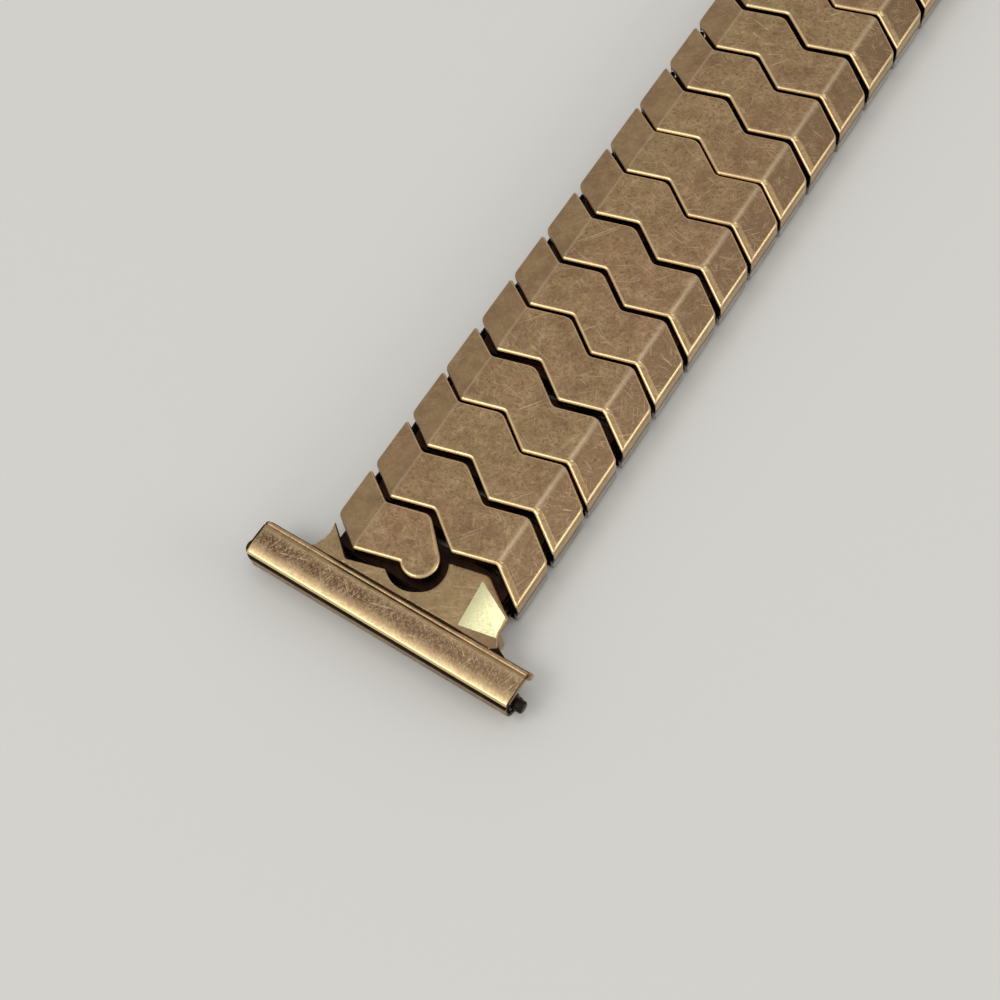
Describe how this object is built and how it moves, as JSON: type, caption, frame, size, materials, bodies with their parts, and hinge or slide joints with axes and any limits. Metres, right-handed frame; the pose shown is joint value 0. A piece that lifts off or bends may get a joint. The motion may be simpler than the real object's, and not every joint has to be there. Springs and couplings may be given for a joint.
{
  "type": "expansion watch band",
  "caption": "Expansion watch band of zigzag gold-filled links over sprung steel sleeves, with shaped end plates, lug sleeves and spring bars.",
  "frame": {"origin": "bottom centre of the whole band, on the surface that it lies on", "axes": "+X across the band, +Y along it away from the pictured end, +Z out of the shells' faces"},
  "size_m": [0.0208, 0.0986, 0.0029],
  "materials": {
    "gold_filled": "worn satin gold fill",
    "steel": "dull stainless steel",
    "bar_steel": "darkened spring steel"
  },
  "bodies": {
    "end_near": {"end_plate_near": "gold_filled", "anchor_link_near": "steel", "lug_sleeve_near": "gold_filled", "spring_bar_barrel_near": "bar_steel"},
    "upper_01": {"upper_link_01": "gold_filled"},
    "lower_01": {"lower_link_01": "steel"},
    "upper_02": {"upper_link_02": "gold_filled"},
    "lower_02": {"lower_link_02": "steel"},
    "upper_03": {"upper_link_03": "gold_filled"},
    "lower_03": {"lower_link_03": "steel"},
    "upper_04": {"upper_link_04": "gold_filled"},
    "lower_04": {"lower_link_04": "steel"},
    "upper_05": {"upper_link_05": "gold_filled"},
    "lower_05": {"lower_link_05": "steel"},
    "upper_06": {"upper_link_06": "gold_filled"},
    "lower_06": {"lower_link_06": "steel"},
    "upper_07": {"upper_link_07": "gold_filled"},
    "lower_07": {"lower_link_07": "steel"},
    "upper_08": {"upper_link_08": "gold_filled"},
    "lower_08": {"lower_link_08": "steel"},
    "upper_09": {"upper_link_09": "gold_filled"},
    "lower_09": {"lower_link_09": "steel"},
    "upper_10": {"upper_link_10": "gold_filled"},
    "lower_10": {"lower_link_10": "steel"},
    "upper_11": {"upper_link_11": "gold_filled"},
    "lower_11": {"lower_link_11": "steel"},
    "upper_12": {"upper_link_12": "gold_filled"},
    "lower_12": {"lower_link_12": "steel"},
    "upper_13": {"upper_link_13": "gold_filled"},
    "lower_13": {"lower_link_13": "steel"},
    "upper_14": {"upper_link_14": "gold_filled"},
    "lower_14": {"lower_link_14": "steel"},
    "upper_15": {"upper_link_15": "gold_filled"},
    "lower_15": {"lower_link_15": "steel"},
    "upper_16": {"upper_link_16": "gold_filled"},
    "lower_16": {"lower_link_16": "steel"},
    "upper_17": {"upper_link_17": "gold_filled"},
    "lower_17": {"lower_link_17": "steel"},
    "upper_18": {"upper_link_18": "gold_filled"},
    "lower_18": {"lower_link_18": "steel"},
    "upper_19": {"upper_link_19": "gold_filled"},
    "lower_19": {"lower_link_19": "steel"},
    "upper_20": {"upper_link_20": "gold_filled"},
    "lower_20": {"lower_link_20": "steel"},
    "upper_21": {"upper_link_21": "gold_filled"},
    "lower_21": {"lower_link_21": "steel"},
    "upper_22": {"upper_link_22": "gold_filled"},
    "lower_22": {"lower_link_22": "steel"},
    "upper_23": {"upper_link_23": "gold_filled"},
    "lower_23": {"lower_link_23": "steel"},
    "upper_24": {"upper_link_24": "gold_filled"},
    "end_far": {"end_plate_far": "gold_filled", "anchor_link_far": "steel", "lug_sleeve_far": "gold_filled", "spring_bar_barrel_far": "bar_steel"},
    "tip_left_near": {"spring_bar_tip_left_near": "bar_steel"},
    "tip_right_near": {"spring_bar_tip_right_near": "bar_steel"},
    "tip_left_far": {"spring_bar_tip_left_far": "bar_steel"},
    "tip_right_far": {"spring_bar_tip_right_far": "bar_steel"}
  },
  "joints": [
    {"name": "bend_01", "type": "hinge", "parent": "end_near", "child": "upper_01", "pos_m": [0, -0.04495, 0.0013], "axis": [-1, 0, 0], "range_deg": [-3, 12]},
    {"name": "stretch_01", "type": "slide", "parent": "upper_01", "child": "lower_01", "axis": [0, 1, 0], "range_m": [0, 0.00125], "stiffness_N_per_m": 800},
    {"name": "bend_02", "type": "hinge", "parent": "lower_01", "child": "upper_02", "pos_m": [0, -0.04105, 0.0013], "axis": [-1, 0, 0], "range_deg": [-3, 12]},
    {"name": "stretch_02", "type": "slide", "parent": "upper_02", "child": "lower_02", "axis": [0, 1, 0], "range_m": [0, 0.00125], "stiffness_N_per_m": 800},
    {"name": "bend_03", "type": "hinge", "parent": "lower_02", "child": "upper_03", "pos_m": [0, -0.03709, 0.0013], "axis": [-1, 0, 0], "range_deg": [-3, 12]},
    {"name": "stretch_03", "type": "slide", "parent": "upper_03", "child": "lower_03", "axis": [0, 1, 0], "range_m": [0, 0.00125], "stiffness_N_per_m": 800},
    {"name": "bend_04", "type": "hinge", "parent": "lower_03", "child": "upper_04", "pos_m": [0, -0.0334, 0.0013], "axis": [-1, 0, 0], "range_deg": [-3, 12]},
    {"name": "stretch_04", "type": "slide", "parent": "upper_04", "child": "lower_04", "axis": [0, 1, 0], "range_m": [0, 0.00125], "stiffness_N_per_m": 800},
    {"name": "bend_05", "type": "hinge", "parent": "lower_04", "child": "upper_05", "pos_m": [0, -0.02937, 0.0013], "axis": [-1, 0, 0], "range_deg": [-3, 12]},
    {"name": "stretch_05", "type": "slide", "parent": "upper_05", "child": "lower_05", "axis": [0, 1, 0], "range_m": [0, 0.00125], "stiffness_N_per_m": 800},
    {"name": "bend_06", "type": "hinge", "parent": "lower_05", "child": "upper_06", "pos_m": [0, -0.02562, 0.0013], "axis": [-1, 0, 0], "range_deg": [-3, 12]},
    {"name": "stretch_06", "type": "slide", "parent": "upper_06", "child": "lower_06", "axis": [0, 1, 0], "range_m": [0, 0.00125], "stiffness_N_per_m": 800},
    {"name": "bend_07", "type": "hinge", "parent": "lower_06", "child": "upper_07", "pos_m": [0, -0.02176, 0.0013], "axis": [-1, 0, 0], "range_deg": [-3, 12]},
    {"name": "stretch_07", "type": "slide", "parent": "upper_07", "child": "lower_07", "axis": [0, 1, 0], "range_m": [0, 0.00125], "stiffness_N_per_m": 800},
    {"name": "bend_08", "type": "hinge", "parent": "lower_07", "child": "upper_08", "pos_m": [0, -0.01784, 0.0013], "axis": [-1, 0, 0], "range_deg": [-3, 12]},
    {"name": "stretch_08", "type": "slide", "parent": "upper_08", "child": "lower_08", "axis": [0, 1, 0], "range_m": [0, 0.00125], "stiffness_N_per_m": 800},
    {"name": "bend_09", "type": "hinge", "parent": "lower_08", "child": "upper_09", "pos_m": [0, -0.0141, 0.0013], "axis": [-1, 0, 0], "range_deg": [-3, 12]},
    {"name": "stretch_09", "type": "slide", "parent": "upper_09", "child": "lower_09", "axis": [0, 1, 0], "range_m": [0, 0.00125], "stiffness_N_per_m": 800},
    {"name": "bend_10", "type": "hinge", "parent": "lower_09", "child": "upper_10", "pos_m": [0, -0.01042, 0.0013], "axis": [-1, 0, 0], "range_deg": [-3, 12]},
    {"name": "stretch_10", "type": "slide", "parent": "upper_10", "child": "lower_10", "axis": [0, 1, 0], "range_m": [0, 0.00125], "stiffness_N_per_m": 800},
    {"name": "bend_11", "type": "hinge", "parent": "lower_10", "child": "upper_11", "pos_m": [0, -0.00658, 0.0013], "axis": [-1, 0, 0], "range_deg": [-3, 12]},
    {"name": "stretch_11", "type": "slide", "parent": "upper_11", "child": "lower_11", "axis": [0, 1, 0], "range_m": [0, 0.00125], "stiffness_N_per_m": 800},
    {"name": "bend_12", "type": "hinge", "parent": "lower_11", "child": "upper_12", "pos_m": [0, -0.00277, 0.0013], "axis": [-1, 0, 0], "range_deg": [-3, 12]},
    {"name": "stretch_12", "type": "slide", "parent": "upper_12", "child": "lower_12", "axis": [0, 1, 0], "range_m": [0, 0.00125], "stiffness_N_per_m": 800},
    {"name": "bend_13", "type": "hinge", "parent": "lower_12", "child": "upper_13", "pos_m": [0, 0.00113, 0.0013], "axis": [-1, 0, 0], "range_deg": [-3, 12]},
    {"name": "stretch_13", "type": "slide", "parent": "upper_13", "child": "lower_13", "axis": [0, 1, 0], "range_m": [0, 0.00125], "stiffness_N_per_m": 800},
    {"name": "bend_14", "type": "hinge", "parent": "lower_13", "child": "upper_14", "pos_m": [0, 0.00489, 0.0013], "axis": [-1, 0, 0], "range_deg": [-3, 12]},
    {"name": "stretch_14", "type": "slide", "parent": "upper_14", "child": "lower_14", "axis": [0, 1, 0], "range_m": [0, 0.00125], "stiffness_N_per_m": 800},
    {"name": "bend_15", "type": "hinge", "parent": "lower_14", "child": "upper_15", "pos_m": [0, 0.00876, 0.0013], "axis": [-1, 0, 0], "range_deg": [-3, 12]},
    {"name": "stretch_15", "type": "slide", "parent": "upper_15", "child": "lower_15", "axis": [0, 1, 0], "range_m": [0, 0.00125], "stiffness_N_per_m": 800},
    {"name": "bend_16", "type": "hinge", "parent": "lower_15", "child": "upper_16", "pos_m": [0, 0.01262, 0.0013], "axis": [-1, 0, 0], "range_deg": [-3, 12]},
    {"name": "stretch_16", "type": "slide", "parent": "upper_16", "child": "lower_16", "axis": [0, 1, 0], "range_m": [0, 0.00125], "stiffness_N_per_m": 800},
    {"name": "bend_17", "type": "hinge", "parent": "lower_16", "child": "upper_17", "pos_m": [0, 0.01655, 0.0013], "axis": [-1, 0, 0], "range_deg": [-3, 12]},
    {"name": "stretch_17", "type": "slide", "parent": "upper_17", "child": "lower_17", "axis": [0, 1, 0], "range_m": [0, 0.00125], "stiffness_N_per_m": 800},
    {"name": "bend_18", "type": "hinge", "parent": "lower_17", "child": "upper_18", "pos_m": [0, 0.02036, 0.0013], "axis": [-1, 0, 0], "range_deg": [-3, 12]},
    {"name": "stretch_18", "type": "slide", "parent": "upper_18", "child": "lower_18", "axis": [0, 1, 0], "range_m": [0, 0.00125], "stiffness_N_per_m": 800},
    {"name": "bend_19", "type": "hinge", "parent": "lower_18", "child": "upper_19", "pos_m": [0, 0.0242, 0.0013], "axis": [-1, 0, 0], "range_deg": [-3, 12]},
    {"name": "stretch_19", "type": "slide", "parent": "upper_19", "child": "lower_19", "axis": [0, 1, 0], "range_m": [0, 0.00125], "stiffness_N_per_m": 800},
    {"name": "bend_20", "type": "hinge", "parent": "lower_19", "child": "upper_20", "pos_m": [0, 0.02798, 0.0013], "axis": [-1, 0, 0], "range_deg": [-3, 12]},
    {"name": "stretch_20", "type": "slide", "parent": "upper_20", "child": "lower_20", "axis": [0, 1, 0], "range_m": [0, 0.00125], "stiffness_N_per_m": 800},
    {"name": "bend_21", "type": "hinge", "parent": "lower_20", "child": "upper_21", "pos_m": [0, 0.03188, 0.0013], "axis": [-1, 0, 0], "range_deg": [-3, 12]},
    {"name": "stretch_21", "type": "slide", "parent": "upper_21", "child": "lower_21", "axis": [0, 1, 0], "range_m": [0, 0.00125], "stiffness_N_per_m": 800},
    {"name": "bend_22", "type": "hinge", "parent": "lower_21", "child": "upper_22", "pos_m": [0, 0.03569, 0.0013], "axis": [-1, 0, 0], "range_deg": [-3, 12]},
    {"name": "stretch_22", "type": "slide", "parent": "upper_22", "child": "lower_22", "axis": [0, 1, 0], "range_m": [0, 0.00125], "stiffness_N_per_m": 800},
    {"name": "bend_23", "type": "hinge", "parent": "lower_22", "child": "upper_23", "pos_m": [0, 0.03955, 0.0013], "axis": [-1, 0, 0], "range_deg": [-3, 12]},
    {"name": "stretch_23", "type": "slide", "parent": "upper_23", "child": "lower_23", "axis": [0, 1, 0], "range_m": [0, 0.00125], "stiffness_N_per_m": 800},
    {"name": "bend_24", "type": "hinge", "parent": "lower_23", "child": "upper_24", "pos_m": [0, 0.04339, 0.0013], "axis": [-1, 0, 0], "range_deg": [-3, 12]},
    {"name": "stretch_24", "type": "slide", "parent": "upper_24", "child": "end_far", "axis": [0, 1, 0], "range_m": [0, 0.00125], "stiffness_N_per_m": 800},
    {"name": "tip_left_near_press", "type": "slide", "parent": "end_near", "child": "tip_left_near", "axis": [1, 0, 0], "range_m": [0, 0.0008], "stiffness_N_per_m": 600},
    {"name": "tip_right_near_press", "type": "slide", "parent": "end_near", "child": "tip_right_near", "axis": [-1, 0, 0], "range_m": [0, 0.0008], "stiffness_N_per_m": 600},
    {"name": "tip_left_far_press", "type": "slide", "parent": "end_far", "child": "tip_left_far", "axis": [-1, 0, 0], "range_m": [0, 0.0008], "stiffness_N_per_m": 600},
    {"name": "tip_right_far_press", "type": "slide", "parent": "end_far", "child": "tip_right_far", "axis": [1, 0, 0], "range_m": [0, 0.0008], "stiffness_N_per_m": 600}
  ],
  "couplings": [
    {"joint": "stretch_02", "follows": "stretch_01", "ratio": 1},
    {"joint": "stretch_03", "follows": "stretch_01", "ratio": 1},
    {"joint": "stretch_04", "follows": "stretch_01", "ratio": 1},
    {"joint": "stretch_05", "follows": "stretch_01", "ratio": 1},
    {"joint": "stretch_06", "follows": "stretch_01", "ratio": 1},
    {"joint": "stretch_07", "follows": "stretch_01", "ratio": 1},
    {"joint": "stretch_08", "follows": "stretch_01", "ratio": 1},
    {"joint": "stretch_09", "follows": "stretch_01", "ratio": 1},
    {"joint": "stretch_10", "follows": "stretch_01", "ratio": 1},
    {"joint": "stretch_11", "follows": "stretch_01", "ratio": 1},
    {"joint": "stretch_12", "follows": "stretch_01", "ratio": 1},
    {"joint": "stretch_13", "follows": "stretch_01", "ratio": 1},
    {"joint": "stretch_14", "follows": "stretch_01", "ratio": 1},
    {"joint": "stretch_15", "follows": "stretch_01", "ratio": 1},
    {"joint": "stretch_16", "follows": "stretch_01", "ratio": 1},
    {"joint": "stretch_17", "follows": "stretch_01", "ratio": 1},
    {"joint": "stretch_18", "follows": "stretch_01", "ratio": 1},
    {"joint": "stretch_19", "follows": "stretch_01", "ratio": 1},
    {"joint": "stretch_20", "follows": "stretch_01", "ratio": 1},
    {"joint": "stretch_21", "follows": "stretch_01", "ratio": 1},
    {"joint": "stretch_22", "follows": "stretch_01", "ratio": 1},
    {"joint": "stretch_23", "follows": "stretch_01", "ratio": 1},
    {"joint": "stretch_24", "follows": "stretch_01", "ratio": 1}
  ]
}
